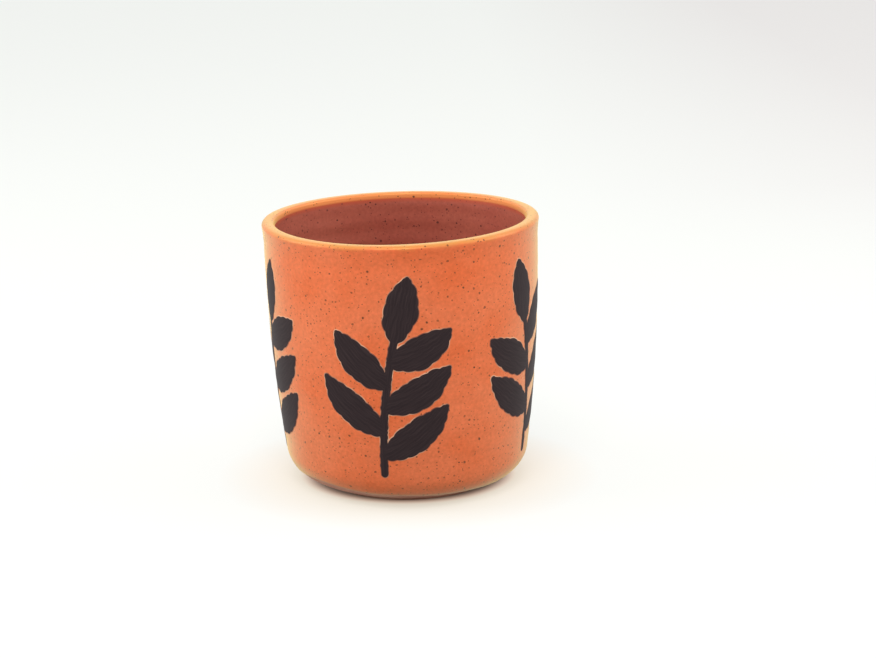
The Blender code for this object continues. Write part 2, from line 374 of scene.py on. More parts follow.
class Section:
    """The half section of a turned piece, drawn by one vertex that is carried along arcs and lines."""

    def __init__(self, radius, height):
        self.form = bmesh.new()
        self.start = self.form.verts.new((radius, 0.0, height))
        self.pen = self.start

    def arc(self, centre, turn, steps):
        """Carries the pen round a centre, counterclockwise in the half section if turn is positive."""
        made = bmesh.ops.spin(
            self.form,
            geom=[self.pen],
            cent=(centre[0], 0.0, centre[1]),
            axis=(0.0, -1.0, 0.0),
            angle=turn,
            steps=steps,
        )
        self.pen = next(item for item in made["geom_last"] if isinstance(item, bmesh.types.BMVert))

    def line(self, radius, height, steps=1):
        """Carries the pen straight to a point."""
        step = (Vector((radius, 0.0, height)) - self.pen.co) / steps
        for _ in range(steps):
            made = bmesh.ops.extrude_vert_indiv(self.form, verts=[self.pen])
            self.pen = made["verts"][0]
            self.pen.co += step

    def close(self):
        """Joins the pen to the section's start."""
        self.form.edges.new((self.pen, self.start))

    def turn(self):
        """Turns the section about the cup's axis into a closed piece with its faces outwards."""
        bmesh.ops.spin(
            self.form,
            geom=self.form.verts[:] + self.form.edges[:],
            cent=(0.0, 0.0, 0.0),
            axis=(0.0, 0.0, 1.0),
            angle=math.tau,
            steps=SEGMENTS,
            use_merge=True,
        )
        bmesh.ops.remove_doubles(self.form, verts=self.form.verts, dist=MERGE)
        bmesh.ops.recalc_face_normals(self.form, faces=self.form.faces)
        return self.form


class Outline:
    """Centres and angles of the arcs that the glazed form is made of, as in a potter's template."""

    def __init__(self, form):
        self.form = form
        self.sweep = (form.belly_radius - form.wall_sweep, form.belly_height)
        self.inner = form.wall_sweep - form.wall
        self.heel = self.round_centre(form.wall_sweep, form.heel_radius, form.heel_height)
        inner_height = form.floor + form.inner_heel_radius
        self.inner_heel = self.round_centre(self.inner, form.inner_heel_radius, inner_height)
        self.top = form.height - form.crown
        outer_round, inner_round = form.lip_outer_round, form.lip_inner_round
        self.lip = self.round_centre(form.wall_sweep, outer_round, self.top - outer_round)
        self.inner_lip = self.round_centre(self.inner, -inner_round, self.top - inner_round)
        self.lap_angle = math.asin((self.inner_lip[1] - form.lap - form.belly_height) / self.inner)
        self.join = self.towards(self.heel)
        self.inner_join = self.towards(self.inner_heel)
        self.lip_join = self.towards(self.lip)
        self.inner_lip_join = self.towards(self.inner_lip)

    def round_centre(self, sweep, radius, height):
        """Centre of a round that meets a wall arc smoothly, from beyond it if the radius is negative."""
        drop = self.form.belly_height - height
        return self.sweep[0] + math.sqrt((sweep - radius) ** 2 - drop**2), height

    def towards(self, point):
        """Angle from the wall arc's centre to a point."""
        return math.atan2(point[1] - self.sweep[1], point[0] - self.sweep[0])

    def on_arc(self, centre, radius, at):
        """Point of an arc at an angle."""
        return centre[0] + radius * math.cos(at), centre[1] + radius * math.sin(at)

    def heel_end(self, radius, height):
        """Angle at which a heel round of that radius comes down to a height."""
        return math.asin((height - self.heel[1]) / radius)

    def foot_radii(self):
        """Radii of the heel's end, of the foot ring's outside and inside, and of the recess."""
        form = self.form
        bare = form.heel_radius - form.coat - form.fit
        heel_edge = self.on_arc(self.heel, bare, self.heel_end(bare, form.foot_height))[0]
        ring = heel_edge - form.foot_set_in
        ring_inside = ring - form.foot_ring
        return heel_edge, ring, ring_inside, ring_inside - form.recess_slope

    def wall_at(self, height):
        """Outer radius of the wall at a height, before the flare."""
        return self.sweep[0] + math.sqrt(self.form.wall_sweep**2 - (height - self.sweep[1]) ** 2)


def thrown_out(point, turn, inside, outline):
    """How far the flare, the oval and the throwing rings carry a point of the wall outwards."""
    form = outline.form
    up = min(max(0.0, 1.0 - (outline.lip[1] - point.z) / form.flare_length), 1.0)
    pull = math.cos(2 * turn + OVAL_TURN) + THIRD_SHARE * math.cos(3 * turn + THIRD_TURN)
    ring = form.ring_depth + (form.inner_ring_depth - form.ring_depth) * inside
    girth = Vector((LUMPS_ROUND * math.cos(turn), LUMPS_ROUND * math.sin(turn), point.z / LUMP_RISE))
    lumps = noise.noise(girth)
    wave = math.sin(math.tau * point.z / form.ring_pitch - turn + RING_SWAY * lumps)
    moved = form.flare * up**2 + form.oval * pull * point.z / form.height
    return moved + ring * (wave * (RING_SHARE + lumps) + LUMP_SHARE * lumps)


def thrown_height(point, radius, turn, inside, outline):
    """Height of a point with the swirl of the floor inside, the crown of the lip and the dip of the rim."""
    form = outline.form
    height = point.z
    low_inside = form.foot_height < point.z < outline.inner_heel[1] and inside >= 1.0
    if low_inside and radius < outline.inner_heel[0]:
        fade = 1.0 - radius / outline.inner_heel[0]
        swirl = math.sin(math.tau * radius / form.ring_pitch - turn)
        height += SWIRL_SHARE * form.inner_ring_depth * swirl * fade * min(1.0, radius / form.ring_pitch)
    if point.z > outline.inner_lip[1]:
        aside = 2.0 * (radius - (outline.lip[0] + outline.inner_lip[0]) / 2) / form.wall
        rise = (point.z - outline.inner_lip[1]) / form.lip_inner_round
        height += form.crown * max(0.0, 1.0 - aside**2) * min(rise, 1.0)
    sag = form.rim_sag * max(0.0, math.cos(turn - form.sag_turn)) ** 2
    dip = form.rim_dip * math.sin(turn) ** 2 + sag
    return height - dip * (point.z / form.height) ** DIP_POWER


def as_thrown(point, outline):
    """Moves a point of the true form to where a hand-thrown cup has it, which also leans a little."""
    form = outline.form
    radius = math.hypot(point.x, point.y)
    if radius < form.coat:
        return point.copy()
    turn = math.atan2(point.y, point.x)
    depth = (outline.wall_at(min(point.z, form.height)) - radius) / form.wall
    inside = min(max(depth, 0.0), 1.0)
    stretch = 1.0 + thrown_out(point, turn, inside, outline) / radius
    height = thrown_height(point, radius, turn, inside, outline)
    across, lean = point.x * stretch, math.tan(form.lean)
    tilted = height - lean * across * height / form.height
    return Vector((across + lean * height, point.y * stretch, tilted))


def finish_piece(name, form, outline, node, material):
    """Makes the object of a piece that rides on the cup, stands for its node and is shaded smooth."""
    for vert in form.verts:
        vert.co = as_thrown(vert.co, outline)
    mesh = bpy.data.meshes.new(name)
    form.to_mesh(mesh)
    form.free()
    mesh.shade_smooth()
    mesh.set_sharp_from_angle(angle=SHARP)
    mesh.materials.append(material)
    piece = bpy.data.objects.new(name, mesh)
    bpy.context.scene.collection.objects.link(piece)
    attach(piece, BODY)
    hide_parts(node)


def add(tree, kind, inputs=None, **settings):
    """Adds a node with its settings, and links or sets its inputs, which are named or numbered."""
    node = tree.nodes.new(kind)
    for name, value in settings.items():
        setattr(node, name, value)
    for name, value in (inputs or {}).items():
        if isinstance(value, bpy.types.NodeSocket):
            tree.links.new(value, node.inputs[name])
        else:
            node.inputs[name].default_value = value
    return node


def opaque(values):
    """A colour with full alpha, as a shader's socket takes it."""
    return (*values, 1.0)


def new_material(name):
    """An empty material with a Principled shader on its output."""
    material = bpy.data.materials.new(name)
    material.use_nodes = True
    tree = material.node_tree
    return material, tree, tree.nodes["Principled BSDF"]


def iron_specks(tree, where, spacing, largest, share_kept):
    """Masks of round iron specks: how dark each is, and how deep it lies. Sizes are in metres."""
    cells = add(tree, "ShaderNodeTexVoronoi", {"Vector": where, "Scale": 1.0 / spacing})
    chance = add(tree, "ShaderNodeSeparateColor", {"Color": cells.outputs["Color"]})
    # Places below the kept share get a speck too small to see, the others one of any size up to the largest
    size = add(
        tree,
        "ShaderNodeMapRange",
        {"Value": chance.outputs["Red"], 1: 1.0 - share_kept, 2: 1.0, 3: 0.001, 4: largest / spacing},
    )
    # Each speck is solid over about half of its radius and bleeds out from there
    core = add(tree, "ShaderNodeMath", {0: size.outputs[0], 1: 0.55}, operation="MULTIPLY")
    dot = add(
        tree,
        "ShaderNodeMapRange",
        {"Value": cells.outputs["Distance"], 1: core.outputs[0], 2: size.outputs[0], 3: 1.0, 4: 0.0},
        interpolation_type="SMOOTHSTEP",
    )
    strength = add(
        tree,
        "ShaderNodeMapRange",
        {"Value": chance.outputs["Blue"], 1: 0.0, 2: 1.0, 3: 0.55, 4: 1.0},
    )
    mask = add(
        tree,
        "ShaderNodeMath",
        {0: dot.outputs[0], 1: strength.outputs[0]},
        operation="MULTIPLY",
    )
    return mask.outputs[0], chance.outputs["Green"]


def glaze_body(tree, where, even, pale, mottle):
    """Colour of a glaze where it covers: in clouds of thicker and thinner glaze, finely grained, and a
    little darker low on the wall, as painted shade."""
    mottled = add(
        tree,
        "ShaderNodeMapRange",
        {"Value": mottle, 1: 0.2, 2: 0.8},
        interpolation_type="SMOOTHSTEP",
    )
    clouded = add(
        tree,
        "ShaderNodeMix",
        {0: mottled.outputs[0], 6: opaque(even), 7: opaque(pale)},
        data_type="RGBA",
    )
    grain = add(
        tree,
        "ShaderNodeTexNoise",
        {"Vector": where, "Scale": 1.0 / GLAZE_GRAIN, "Detail": 3.0},
    )
    grained = add(
        tree,
        "ShaderNodeMapRange",
        {"Value": grain.outputs[0], 1: 0.25, 2: 0.75, 3: 0.88, 4: 1.12},
    )
    # Painted shade: the glaze is darkened towards the foot
    height = add(tree, "ShaderNodeSeparateXYZ", {0: where}).outputs["Z"]
    painted_low_shade = add(
        tree,
        "ShaderNodeMapRange",
        {"Value": height, 1: PAINTED_SHADE_LOW, 2: PAINTED_SHADE_HIGH, 3: 0.93, 4: 1.0},
    )
    depth = add(
        tree,
        "ShaderNodeMath",
        {0: grained.outputs[0], 1: painted_low_shade.outputs[0]},
        operation="MULTIPLY",
    )
    body = add(
        tree,
        "ShaderNodeVectorMath",
        {0: clouded.outputs[2], "Scale": depth.outputs[0]},
        operation="SCALE",
    )
    return body.outputs[0]


def speckled_glaze(name, even, pale, rim, satin, finish):
    """A satin glaze on speckled stoneware: softly clouded, of other colours where it breaks over the lip
    with painted highlight, is painted lighter where it laps the lining, fades into painted shade inside the
    cup, or thins out at its end, with iron specks from the clay that bleed through it."""
    material, tree, shader = new_material(name)
    where = add(tree, "ShaderNodeTexCoord").outputs["Object"]
    mottle = add(
        tree,
        "ShaderNodeTexNoise",
        {"Vector": where, "Scale": 1.0 / GLAZE_CLOUD, "Detail": 4.0},
    ).outputs[0]
    surface = glaze_body(tree, where, even, pale, mottle)
    zones = (
        ("broken", rim),
        ("lapped", finish.lit_lap_glaze),
        ("inside", finish.lining_rim),
        ("thin", finish.glaze_thin),
    )
    for zone, tint in zones:
        share_here = add(tree, "ShaderNodeAttribute", attribute_name=zone).outputs["Fac"]
        surface = add(
            tree, "ShaderNodeMix", {0: share_here, 6: surface, 7: opaque(tint)}, data_type="RGBA"
        ).outputs[2]
    # A fine wander of the place keeps the specks from being true discs
    wander = add(
        tree,
        "ShaderNodeTexNoise",
        {"Vector": where, "Scale": 1.0 / SPECK_WANDER, "Detail": 1.0},
    )
    strayed = add(
        tree,
        "ShaderNodeVectorMath",
        {0: wander.outputs["Color"], 1: (SPECK_STRAY, SPECK_STRAY, SPECK_STRAY), 2: where},
        operation="MULTIPLY_ADD",
    ).outputs[0]
    for specks in (COARSE_SPECKS, FINE_SPECKS):
        mask, deep = iron_specks(tree, strayed, *specks)
        iron = add(
            tree,
            "ShaderNodeMix",
            {0: deep, 6: opaque(finish.speck), 7: opaque(finish.speck_cool)},
            data_type="RGBA",
        )
        surface = add(
            tree, "ShaderNodeMix", {0: mask, 6: surface, 7: iron.outputs[2]}, data_type="RGBA"
        ).outputs[2]
    tree.links.new(surface, shader.inputs["Base Color"])
    uneven = add(
        tree,
        "ShaderNodeMapRange",
        {"Value": mottle, 1: 0.3, 2: 0.7, 3: 0.87 * satin, 4: 1.13 * satin},
    )
    tree.links.new(uneven.outputs[0], shader.inputs["Roughness"])
    peel = add(
        tree,
        "ShaderNodeTexNoise",
        {"Vector": where, "Scale": 1.0 / GLAZE_PEEL, "Detail": 2.0},
    )
    bump = add(
        tree,
        "ShaderNodeBump",
        {"Height": peel.outputs[0], "Strength": 0.12, "Distance": 0.05 * MM},
    )
    tree.links.new(bump.outputs[0], shader.inputs["Normal"])
    shader.inputs["IOR"].default_value = 1.5
    return material, shader


def bare_stoneware(finish):
    """Unglazed speckled stoneware, trimmed on the wheel: matt, gritty and toasted in patches."""
    material, tree, shader = new_material("Bare speckled stoneware")
    where = add(tree, "ShaderNodeTexCoord").outputs["Object"]
    toast = add(
        tree,
        "ShaderNodeTexNoise",
        {"Vector": where, "Scale": 1.0 / TOAST_PATCH, "Detail": 3.0},
    )
    toasted = add(tree, "ShaderNodeMapRange", {"Value": toast.outputs[0], 1: 0.35, 2: 0.65})
    base = add(
        tree,
        "ShaderNodeMix",
        {0: toasted.outputs[0], 6: opaque(finish.clay), 7: opaque(finish.clay_toasted)},
        data_type="RGBA",
    )
    mask, _ = iron_specks(tree, where, *CLAY_SPECKS)
    surface = add(
        tree,
        "ShaderNodeMix",
        {0: mask, 6: base.outputs[2], 7: opaque(finish.speck)},
        data_type="RGBA",
    )
    tree.links.new(surface.outputs[2], shader.inputs["Base Color"])
    grit = add(
        tree,
        "ShaderNodeTexNoise",
        {"Vector": where, "Scale": 1.0 / CLAY_GRIT, "Detail": 3.0},
    )
    bump = add(
        tree,
        "ShaderNodeBump",
        {"Height": grit.outputs[0], "Strength": 0.5, "Distance": 0.08 * MM},
    )
    tree.links.new(bump.outputs[0], shader.inputs["Normal"])
    shader.inputs["Roughness"].default_value = 0.85
    return material


def brushed_paint(finish):
    """Brown-black underglaze laid on with a round brush: streaked along each stroke, and drawn back
    from a thin pale line of glaze at its edge."""
    material, tree, shader = new_material("Brown-black brushed underglaze")
    edge, across, along = (
        add(tree, "ShaderNodeAttribute", attribute_name=name).outputs["Fac"] for name in STROKE_NOTES
    )
    lanes = add(tree, "ShaderNodeCombineXYZ", {0: across, 1: along})
    bristle = add(
        tree,
        "ShaderNodeMapping",
        {"Vector": lanes.outputs[0], "Scale": (1.0 / BRISTLE_WIDTH, 1.0 / BRISTLE_RUN, 1.0)},
    )
    streak = add(
        tree,
        "ShaderNodeTexNoise",
        {"Vector": bristle.outputs[0], "Scale": 1.0, "Detail": 2.0},
    )
    streaks = add(tree, "ShaderNodeMapRange", {"Value": streak.outputs[0], 1: 0.42, 2: 0.75})
    paint = add(
        tree,
        "ShaderNodeMix",
        {0: streaks.outputs[0], 6: opaque(finish.paint), 7: opaque(finish.paint_thin)},
        data_type="RGBA",
    )
    inked = add(
        tree,
        "ShaderNodeMapRange",
        {"Value": edge, 1: HALO_START, 2: HALO_END},
        interpolation_type="SMOOTHSTEP",
    )
    # The pale line comes and goes along the edge
    where = add(tree, "ShaderNodeTexCoord").outputs["Object"]
    drawn = add(
        tree,
        "ShaderNodeTexNoise",
        {"Vector": where, "Scale": 1.0 / HALO_RUN, "Detail": 2.0},
    )
    bared = add(tree, "ShaderNodeMapRange", {"Value": drawn.outputs[0], 1: 0.42, 2: 0.6})
    fringe = add(
        tree,
        "ShaderNodeMix",
        {0: bared.outputs[0], 6: opaque(finish.paint_fringe), 7: opaque(finish.paint_halo)},
        data_type="RGBA",
    )
    surface = add(
        tree,
        "ShaderNodeMix",
        {0: inked.outputs[0], 6: fringe.outputs[2], 7: paint.outputs[2]},
        data_type="RGBA",
    )
    tree.links.new(surface.outputs[2], shader.inputs["Base Color"])
    bump = add(
        tree,
        "ShaderNodeBump",
        {"Height": streak.outputs[0], "Strength": 0.25, "Distance": 0.03 * MM},
    )
    tree.links.new(bump.outputs[0], shader.inputs["Normal"])
    shader.inputs["Roughness"].default_value = 0.55
    shader.inputs["Specular IOR Level"].default_value = 0.1
    return material


class TUMBLER_OT_clay_body(bpy.types.Operator):
    """Model the thrown and trimmed stoneware that carries the glazes"""

    bl_idname = "tumbler.clay_body"
    bl_label = "Clay body"

    def execute(self, context):
        settings = context.scene.tumbler
        form = settings.form
        outline = Outline(form)
        skin = form.coat + form.fit
        floor = form.floor - skin
        section = Section(0.0, floor)
        section.line(outline.inner_heel[0], floor, FLOOR_STEPS)
        section.arc(outline.inner_heel, outline.inner_join + math.pi / 2, HEEL_STEPS // HIDDEN_SHARE)
        section.arc(outline.sweep, outline.inner_lip_join - outline.inner_join, WALL_STEPS // HIDDEN_SHARE)
        section.arc(outline.inner_lip, -math.pi / 2 - outline.inner_lip_join, LIP_STEPS)
        section.line(outline.lip[0], section.pen.co.z, LIP_STEPS)
        section.arc(outline.lip, outline.lip_join - math.pi / 2, LIP_STEPS)
        section.arc(outline.sweep, outline.join - outline.lip_join, WALL_STEPS // HIDDEN_SHARE)
        end = outline.heel_end(form.heel_radius - skin, form.foot_height)
        section.arc(outline.heel, end - outline.join, HEEL_STEPS)
        heel_edge, ring, ring_inside, recess = outline.foot_radii()
        section.line(ring, 0.0)
        section.line(ring_inside, 0.0, FOOT_STEPS)
        section.line(recess, form.foot_recess)
        section.line(0.0, form.foot_recess, FLOOR_STEPS)
        cup = section.turn()
        corners = (
            (heel_edge, form.foot_height),
            (ring, 0.0),
            (ring_inside, 0.0),
            (recess, form.foot_recess),
        )
        trimmed = [
            edge
            for edge in cup.edges
            if any(self.runs_round(edge, corner, form.fit) for corner in corners)
        ]
        bmesh.ops.bevel(
            cup,
            geom=trimmed,
            offset=form.foot_edge,
            offset_type="OFFSET",
            affect="EDGES",
            segments=FOOT_STEPS,
            profile=0.5,
            material=-1,
        )
        material = bare_stoneware(settings.finish)
        finish_piece("stoneware_cup", cup, outline, "clay_body", material)
        return {"FINISHED"}

    def runs_round(self, edge, corner, reach):
        """Whether an edge runs round the axis at a corner of the section, given as radius and height."""
        ends = [(math.hypot(vert.co.x, vert.co.y), vert.co.z) for vert in edge.verts]
        return all(math.dist(end, corner) < reach for end in ends)


class TUMBLER_OT_outer_glaze(bpy.types.Operator):
    """Model the orange glaze, from a feathered edge inside the lip down to a wandering line at the foot"""

    bl_idname = "tumbler.outer_glaze"
    bl_label = "Outer glaze"

    def execute(self, context):
        settings = context.scene.tumbler
        form = settings.form
        outline = Outline(form)
        end = outline.heel_end(form.heel_radius, form.glaze_line)
        section = Section(*outline.on_arc(outline.sweep, outline.inner, outline.lap_angle))
        section.arc(outline.sweep, outline.inner_lip_join - outline.lap_angle, LIP_STEPS)
        section.arc(outline.inner_lip, -math.pi / 2 - outline.inner_lip_join, LIP_STEPS)
        section.line(outline.lip[0], outline.top, LIP_STEPS)
        section.arc(outline.lip, outline.lip_join - math.pi / 2, LIP_STEPS)
        section.arc(outline.sweep, outline.join - outline.lip_join, WALL_STEPS)
        section.arc(outline.heel, end - outline.join, HEEL_STEPS)
        bead = outline.on_arc(outline.heel, form.heel_radius - form.coat / 2, end)
        section.arc(bead, -math.pi, BEAD_STEPS)
        section.arc(outline.heel, outline.join - end, HEEL_STEPS // HIDDEN_SHARE)
        section.arc(outline.sweep, outline.lip_join - outline.join, WALL_STEPS // HIDDEN_SHARE)
        section.arc(outline.lip, math.pi / 2 - outline.lip_join, LIP_STEPS)
        section.line(outline.inner_lip[0], outline.top - form.coat, LIP_STEPS)
        section.arc(outline.inner_lip, outline.inner_lip_join + math.pi / 2, LIP_STEPS)
        section.close()
        coat = section.turn()
        self.mark_lip(coat, outline)
        self.let_line_wander(coat, outline, end)
        finish = settings.finish
        material, shader = speckled_glaze(
            "Orange satin glaze",
            finish.glaze,
            finish.glaze_pale,
            finish.glaze_rim,
            satin=0.3,
            finish=finish,
        )
        # Fine crystals in the satin skin give a warm bloom where the wall turns away
        shader.inputs["Specular IOR Level"].default_value = 0.4
        shader.inputs["Specular Tint"].default_value = opaque(finish.bloom)
        shader.inputs["Sheen Weight"].default_value = 0.8
        shader.inputs["Sheen Roughness"].default_value = 0.36
        shader.inputs["Sheen Tint"].default_value = opaque(finish.bloom)
        finish_piece("orange_glaze_coat", coat, outline, "outer_glaze", material)
        return {"FINISHED"}

    def mark_lip(self, coat, outline):
        """Notes where the glaze is painted pale over the lip, a thin break with painted highlight, and
        where it runs out over the lining inside, painted lighter and then into painted shade.
        """
        form = outline.form
        notes = coat.verts.layers.float
        broken, lapped, inside = (notes.new(name) for name in ("broken", "lapped", "inside"))
        reach = form.lip_inner_round + form.lap
        for vert in coat.verts:
            drop = max(0.0, outline.top - vert.co.z)
            if drop > reach + form.coat:
                continue
            radius = math.hypot(vert.co.x, vert.co.y)
            across = (outline.lip[0] - radius) / (outline.lip[0] - outline.inner_lip[0])
            facing = -vert.co.y / radius
            patch = noise.noise(vert.co / LIP_PATCH)
            spread = max(0.0, 1.0 - drop / (form.lip_break * (1.0 + PATCH_SPREAD * patch))) ** LIP_FADE
            # More pale colour on the side facing the camera: painted highlight
            vert[broken] = spread * min(1.0, LIP_EVEN + LIP_CAMERA_HIGHLIGHT * facing + LIP_PATCHY * patch)
            if across > 1.0:
                below_lip = (drop - form.lip_inner_round) / form.lap
                # Painted light on the lap inside the lip, against the shade there
                vert[lapped] = min(1.0, LAP_RISE * drop / form.lip_inner_round)
                # Further down inside, the coat fades into the lining's painted shade
                vert[inside] = min(max(0.0, below_lip), 1.0) ** LIP_FADE

    def let_line_wander(self, coat, outline, end):
        """Slides the glaze's lower end up and down the heel, as a dipped glaze ends."""
        form = outline.form
        reach = outline.join - end
        thin = coat.verts.layers.float.new("thin")
        for vert in coat.verts:
            if vert.co.z > outline.heel[1]:
                continue
            radius = math.hypot(vert.co.x, vert.co.y)
            turn = math.atan2(vert.co.y, vert.co.x)
            at = math.atan2(vert.co.z - outline.heel[1], radius - outline.heel[0])
            along = (outline.join - at) / reach
            stray = noise.noise(Vector((*vert.co.xy.normalized() * WANDER_ROUND, WANDER_PLACE)))
            lift = form.glaze_line_slant * math.cos(turn - form.slant_turn)
            lift += 2.0 * form.glaze_line_wander * stray
            slid = at + lift / (form.heel_radius * math.cos(end)) * along**2
            vert[thin] = max(0.0, 1.0 - (at - end) * form.heel_radius / form.thin_glaze)
            from_centre = math.hypot(vert.co.z - outline.heel[1], radius - outline.heel[0])
            new_radius, height = outline.on_arc(outline.heel, from_centre, slid)
            vert.co = (new_radius * math.cos(turn), new_radius * math.sin(turn), height)


class TUMBLER_OT_lining_glaze(bpy.types.Operator):
    """Model the glaze that lines the cup and runs up under the outer glaze at the lip"""

    bl_idname = "tumbler.lining_glaze"
    bl_label = "Lining glaze"

    def execute(self, context):
        settings = context.scene.tumbler
        form = settings.form
        outline = Outline(form)
        section = Section(0.0, form.floor)
        section.line(outline.inner_heel[0], form.floor, FLOOR_STEPS)
        section.arc(outline.inner_heel, outline.inner_join + math.pi / 2, HEEL_STEPS)
        section.arc(outline.sweep, outline.lap_angle - outline.inner_join, WALL_STEPS)
        section.line(*outline.on_arc(outline.sweep, outline.inner + form.coat, outline.inner_lip_join))
        section.arc(outline.sweep, outline.inner_join - outline.inner_lip_join, WALL_STEPS // HIDDEN_SHARE)
        section.arc(outline.inner_heel, -math.pi / 2 - outline.inner_join, HEEL_STEPS // HIDDEN_SHARE)
        section.line(0.0, form.floor - form.coat, FLOOR_STEPS)
        lining = section.turn()
        # The lining's top is tinted with the redder edge of its painted shade
        broken = lining.verts.layers.float.new("broken")
        for vert in lining.verts:
            below = outline.inner_lip[1] - form.lap - vert.co.z
            vert[broken] = min(max(0.0, 1.0 - below / form.lip_break), 1.0)
        finish = settings.finish
        material, shader = speckled_glaze(
            "Brown-red lining glaze",
            finish.lining,
            finish.lining_pale,
            finish.lining_rim,
            satin=0.6,
            finish=finish,
        )
        shader.inputs["Specular IOR Level"].default_value = 0.2
        finish_piece("lining_glaze_coat", lining, outline, "lining_glaze", material)
        return {"FINISHED"}


class TUMBLER_OT_leaf_sprigs(bpy.types.Operator):
    """Model the brushed sprigs as thin films of paint on the glaze"""

    bl_idname = "tumbler.leaf_sprigs"
    bl_label = "Leaf sprigs"

    def execute(self, context):
        settings = context.scene.tumbler
        outline = Outline(settings.form)
        material = brushed_paint(settings.finish)
        for i, node in enumerate(SPRIG_NODES):
            turn = settings.brush.front_turn + math.tau * i / len(SPRIG_NODES)
            bend = -settings.brush.stem_bend if i % 2 else settings.brush.stem_bend
            dabs = sprig_dabs(settings.brush, bend, seed=i)
            film = paint_film(dabs, settings.brush, outline, turn)
            finish_piece(f"brushed_sprig_{i + 1}", film, outline, node, material)
        return {"FINISHED"}


def stroke(start, heading_at, reach, width_at, brush, chance):
    """Dabs of one brush stroke, as rows of place, radius, heading and distance along it."""
    steps = max(2, round(reach / STROKE_STEP))
    rows = []
    place = np.array(start, float)
    since_dab = 0.0
    for i in range(steps + 1):
        along = i / steps
        heading = heading_at(along)
        radius = width_at(along) / 2
        rows.append((*place, BRISTLES * radius, heading, along * reach))
        since_dab += reach / steps
        if since_dab >= brush.dab:
            since_dab = 0.0
            press = DAB_PRESS + PRESS_CHANCE * chance.random()
            aside = (chance.random() - 0.5) * DAB_ASIDE * radius
            side = np.array((math.sin(heading), -math.cos(heading))) * aside
            rows.append((*(place + side), press * radius, heading, along * reach))
        place = place + np.array((math.cos(heading), math.sin(heading))) * reach / steps
    return rows


def curling(heading, curl):
    """The heading along a stroke that starts one way and turns by a curl."""
    return lambda along: heading + curl * along


def sprig_dabs(brush, bend, seed):
    """All dabs of a sprig: its stem, its leaves on alternate sides and the leaf on top."""
    chance = np.random.default_rng(seed)
    foot, top = SPRIG_LOW.z, SPRIG_HIGH.z - brush.top_leaf
    rise = top - foot

    def stem_at(climb):
        part = climb / rise
        return (bend * (part**2 - 0.5), foot + climb), math.atan2(rise, 2 * bend * part)

    def stem_heading(along):
        return stem_at(along * rise)[1]

    def stem_width(_along):
        return brush.stem_width

    def leaf_width(along):
        return brush.leaf_width * math.sin(math.pi * (LEAF_BASE + LEAF_RUN * along))

    start, _ = stem_at(0.0)
    dabs = stroke(start, stem_heading, rise, stem_width, brush, chance)
    pitch = (rise - brush.first_leaf - brush.last_leaf) / (brush.leaves - 1)
    for i in range(brush.leaves):
        climb = brush.first_leaf + pitch * i
        place, heading = stem_at(climb)
        side = -1 if i % 2 else 1
        reach = brush.leaf_length * (1 - brush.leaf_taper * (climb / rise) ** 2)
        leaf_heading = curling(heading - side * brush.leaf_spread, side * brush.leaf_curl)
        dabs += stroke(place, leaf_heading, reach, leaf_width, brush, chance)
    place, heading = stem_at(rise)
    dabs += stroke(place, curling(heading, 0.0), brush.top_leaf, leaf_width, brush, chance)
    return np.array(dabs)


def nearest_dab(points, dabs):
    """For each point the dab whose edge lies furthest outside it, and its depth inside that edge."""
    best = np.full(len(points), -np.inf)
    which = np.zeros(len(points), int)
    for i, (x, y, radius, _, _) in enumerate(dabs):
        depth = radius - np.hypot(points[:, 0] - x, points[:, 1] - y)
        better = depth > best
        best[better] = depth[better]
        which[better] = i
    return which, best


def trimmed_grid(dabs):
    """A fine flat grid, trimmed to the outline of the dabs."""
    form = bmesh.new()
    low = (dabs[:, :2] - dabs[:, 2:3]).min(axis=0) - CELL
    high = (dabs[:, :2] + dabs[:, 2:3]).max(axis=0) + CELL
    middle, span = (low + high) / 2, high - low
    bmesh.ops.create_grid(
        form,
        x_segments=round(span[0] / CELL),
        y_segments=round(span[1] / CELL),
        size=0.5,
        matrix=Matrix.Translation((*middle, 0.0)) @ Matrix.Diagonal((*span, 1.0, 1.0)),
    )
    centres = np.array([face.calc_center_median()[:2] for face in form.faces])
    _, depth = nearest_dab(centres, dabs)
    bare = [face for face, inside in zip(form.faces[:], depth) if inside < 0.0]
    while bare:
        bmesh.ops.delete(form, geom=bare, context="FACES")
        # Faces that meet at one corner only would leave an edge that four walls share
        pinched = [vert for vert in form.verts if sum(edge.is_boundary for edge in vert.link_edges) > 2]
        bare = list(dict.fromkeys(face for vert in pinched for face in vert.link_faces))
    rim = [vert for vert in form.verts if vert.is_boundary]
    for _ in range(EDGE_PASSES):
        points = np.array([vert.co[:2] for vert in rim])
        which, _ = nearest_dab(points, dabs)
        for vert, point, i in zip(rim, points, which):
            out = point - dabs[i, :2]
            vert.co.xy = dabs[i, :2] + out / np.hypot(*out) * dabs[i, 2]
    return form


def note_strokes(form, dabs):
    """Notes at each point of a flat film how deep inside the edge it lies, and where in its stroke."""
    points = np.array([vert.co[:2] for vert in form.verts])
    which, depth = nearest_dab(points, dabs)
    edge, across, along = (form.verts.layers.float.new(name) for name in STROKE_NOTES)
    for vert, point, i, inside in zip(form.verts, points, which, depth):
        offset = point - dabs[i, :2]
        heading = dabs[i, 3]
        vert[edge] = inside
        vert[across] = offset[0] * math.sin(heading) - offset[1] * math.cos(heading)
        vert[along] = dabs[i, 4] + offset[0] * math.cos(heading) + offset[1] * math.sin(heading)


